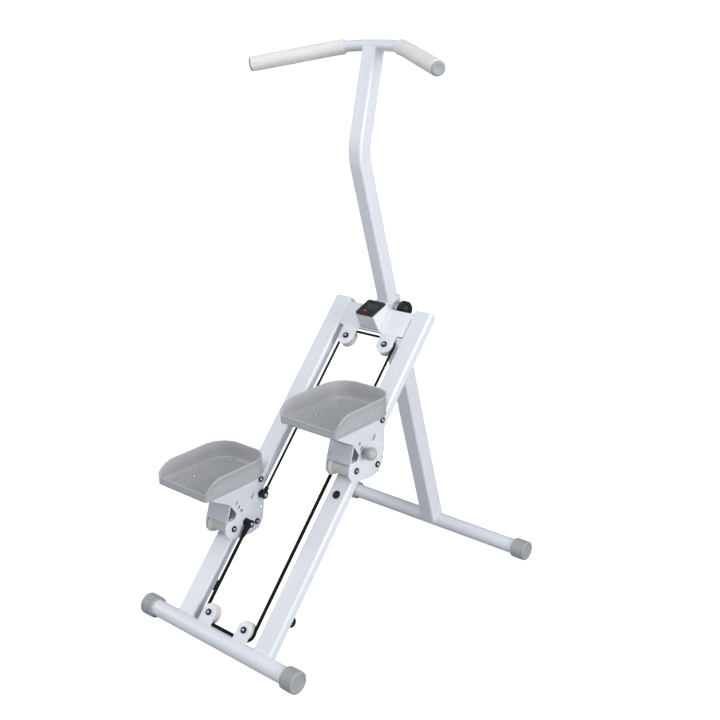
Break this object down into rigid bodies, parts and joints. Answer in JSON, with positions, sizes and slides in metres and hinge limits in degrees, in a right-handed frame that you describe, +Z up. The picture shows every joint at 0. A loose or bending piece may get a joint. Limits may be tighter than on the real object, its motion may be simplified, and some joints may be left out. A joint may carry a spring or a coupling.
{
  "type": "inclined-rail stepper exercise machine",
  "caption": "Home stepper: pedal carriages roll on sloping rails, tied by a cable loop, with a folding rear leg and a telescoping handlebar post.",
  "frame": {"origin": "on the floor, under the middle of the whole machine", "axes": "+Z up, +X to the user's right, +Y the way the user faces"},
  "size_m": [0.614, 0.847, 1.296],
  "materials": {
    "painted_frame": "silver-white powder coat",
    "pedal_plastic": "silver-grey moulded, fine texture",
    "cap_plastic": "grey moulded",
    "foam": "light warm grey foam",
    "roller_nylon": "beige nylon",
    "pin_plastic": "grey-beige moulded",
    "black_plastic": "black moulded",
    "black_rubber": "black rubber",
    "white_plastic": "white moulded",
    "display_glass": "grey-green display",
    "button_red": "red moulded",
    "zinc_steel": "zinc-plated steel",
    "cable_black": "black braided cable"
  },
  "bodies": {
    "front_frame": {"near_base_tube": "painted_frame", "near_cap_left": "cap_plastic", "near_cap_right": "cap_plastic", "rail_left": "painted_frame", "rail_right": "painted_frame", "rail_cap_left": "cap_plastic", "rail_cap_right": "cap_plastic", "rail_plugs": "black_plastic", "rail_stop_left": "black_rubber", "rail_stop_right": "black_rubber", "cover_plate": "painted_frame", "cross_tube": "painted_frame", "console_shell": "white_plastic", "display_housing": "black_plastic", "display_window": "display_glass", "pulley_ear_left": "painted_frame", "pulley_ear_right": "painted_frame", "pulley_bolts": "zinc_steel", "upper_cable_left": "cable_black", "upper_cable_right": "cable_black", "lower_rope_left": "cable_black", "lower_rope_right": "cable_black", "fold_bracket": "painted_frame", "fold_bolt": "zinc_steel"},
    "reset_button": {"reset_button": "button_red"},
    "rear_leg": {"rear_leg": "painted_frame", "far_base_tube": "painted_frame", "far_cap_left": "cap_plastic", "far_cap_right": "cap_plastic", "leg_collar": "white_plastic", "leg_lug": "painted_frame", "screw_boss": "painted_frame"},
    "clamp_knob": {"clamp_knob": "black_plastic"},
    "handle_post": {"handle_post": "painted_frame", "handlebar": "painted_frame", "grip_left": "foam", "grip_right": "foam", "bar_end_plugs": "cap_plastic"},
    "upper_pulley_left": {"upper_pulley_left": "roller_nylon"},
    "lower_pulley_left": {"lower_pulley_left": "roller_nylon"},
    "left_carriage": {"carriage_bracket_left": "painted_frame", "carriage_bolts_left": "zinc_steel", "cable_anchor_left": "black_plastic", "rope_sleeve_left": "black_rubber"},
    "front_roller_left": {"front_roller_left": "roller_nylon"},
    "rear_roller_left": {"rear_roller_left": "roller_nylon"},
    "pull_pin_left": {"pull_pin_left": "pin_plastic"},
    "left_pedal": {"pedal_left": "pedal_plastic", "pedal_cradle_left": "painted_frame"},
    "upper_pulley_right": {"upper_pulley_right": "roller_nylon"},
    "lower_pulley_right": {"lower_pulley_right": "roller_nylon"},
    "right_carriage": {"carriage_bracket_right": "painted_frame", "carriage_bolts_right": "zinc_steel", "cable_anchor_right": "black_plastic", "rope_sleeve_right": "black_rubber"},
    "front_roller_right": {"front_roller_right": "roller_nylon"},
    "rear_roller_right": {"rear_roller_right": "roller_nylon"},
    "pull_pin_right": {"pull_pin_right": "pin_plastic"},
    "right_pedal": {"pedal_right": "pedal_plastic", "pedal_cradle_right": "painted_frame"}
  },
  "joints": [
    {"name": "left_slide", "type": "slide", "parent": "front_frame", "child": "left_carriage", "axis": [0, 0.6561, 0.7547], "range_m": [-0.1415, 0.3637], "deforming": ["upper_cable_left", "lower_rope_left"]},
    {"name": "right_slide", "type": "slide", "parent": "front_frame", "child": "right_carriage", "axis": [0, 0.6561, 0.7547], "range_m": [-0.3637, 0.1415], "deforming": ["upper_cable_right", "lower_rope_right"]},
    {"name": "front_roller_left_spin", "type": "hinge", "parent": "left_carriage", "child": "front_roller_left", "pos_m": [-0.124, -0.25973, 0.21485], "axis": [1, 0, 0], "range_deg": [-1260, 1260]},
    {"name": "rear_roller_left_spin", "type": "hinge", "parent": "left_carriage", "child": "rear_roller_left", "pos_m": [-0.124, -0.18626, 0.2073], "axis": [1, 0, 0], "range_deg": [-1260, 1260]},
    {"name": "upper_pulley_left_spin", "type": "hinge", "parent": "front_frame", "child": "upper_pulley_left", "pos_m": [-0.06, 0.11265, 0.59871], "axis": [0, -0.7547, 0.6561], "range_deg": [-1080, 1080]},
    {"name": "lower_pulley_left_spin", "type": "hinge", "parent": "front_frame", "child": "lower_pulley_left", "pos_m": [-0.057, -0.36498, 0.0546], "axis": [0, -0.7547, 0.6561], "range_deg": [-1080, 1080]},
    {"name": "left_pedal_tilt", "type": "hinge", "parent": "left_carriage", "child": "left_pedal", "pos_m": [-0.124, -0.16968, 0.3098], "axis": [-1, 0, 0], "range_deg": [0, 19]},
    {"name": "pull_pin_left_pull", "type": "slide", "parent": "left_carriage", "child": "pull_pin_left", "axis": [-1, 0, 0], "range_m": [0, 0.008], "stiffness_N_per_m": 400, "springref_m": -0.004},
    {"name": "front_roller_right_spin", "type": "hinge", "parent": "right_carriage", "child": "front_roller_right", "pos_m": [0.124, -0.11408, 0.3824], "axis": [1, 0, 0], "range_deg": [-1260, 1260]},
    {"name": "rear_roller_right_spin", "type": "hinge", "parent": "right_carriage", "child": "rear_roller_right", "pos_m": [0.124, -0.04061, 0.37485], "axis": [1, 0, 0], "range_deg": [-1260, 1260]},
    {"name": "upper_pulley_right_spin", "type": "hinge", "parent": "front_frame", "child": "upper_pulley_right", "pos_m": [0.06, 0.11265, 0.59871], "axis": [0, -0.7547, 0.6561], "range_deg": [-1080, 1080]},
    {"name": "lower_pulley_right_spin", "type": "hinge", "parent": "front_frame", "child": "lower_pulley_right", "pos_m": [0.057, -0.36498, 0.0546], "axis": [0, -0.7547, 0.6561], "range_deg": [-1080, 1080]},
    {"name": "right_pedal_tilt", "type": "hinge", "parent": "right_carriage", "child": "right_pedal", "pos_m": [0.124, -0.02404, 0.47735], "axis": [-1, 0, 0], "range_deg": [0, 19]},
    {"name": "pull_pin_right_pull", "type": "slide", "parent": "right_carriage", "child": "pull_pin_right", "axis": [1, 0, 0], "range_m": [0, 0.008], "stiffness_N_per_m": 400, "springref_m": -0.004},
    {"name": "reset_press", "type": "slide", "parent": "front_frame", "child": "reset_button", "axis": [0, 0.3816, -0.9243], "range_m": [0, 0.001], "stiffness_N_per_m": 400, "springref_m": -0.0005},
    {"name": "rear_leg_fold", "type": "hinge", "parent": "front_frame", "child": "rear_leg", "pos_m": [0, 0.17278, 0.62064], "axis": [-1, 0, 0], "range_deg": [0, 55]},
    {"name": "handle_post_height", "type": "slide", "parent": "rear_leg", "child": "handle_post", "axis": [0, -0.296, 0.9552], "range_m": [-0.15, 0.1]},
    {"name": "clamp_knob_turn", "type": "hinge", "parent": "rear_leg", "child": "clamp_knob", "pos_m": [0.045, 0.19788, 0.6707], "axis": [1, 0, 0], "continuous": true}
  ],
  "couplings": [
    {"joint": "right_slide", "follows": "left_slide", "ratio": -1},
    {"joint": "front_roller_left_spin", "follows": "left_slide", "rad_per_m": -57.143},
    {"joint": "rear_roller_left_spin", "follows": "left_slide", "rad_per_m": 57.143},
    {"joint": "upper_pulley_left_spin", "follows": "left_slide", "rad_per_m": -50},
    {"joint": "lower_pulley_left_spin", "follows": "left_slide", "rad_per_m": -47.619},
    {"joint": "front_roller_right_spin", "follows": "left_slide", "rad_per_m": 57.143},
    {"joint": "rear_roller_right_spin", "follows": "left_slide", "rad_per_m": -57.143},
    {"joint": "upper_pulley_right_spin", "follows": "left_slide", "rad_per_m": -50},
    {"joint": "lower_pulley_right_spin", "follows": "left_slide", "rad_per_m": -47.619}
  ]
}
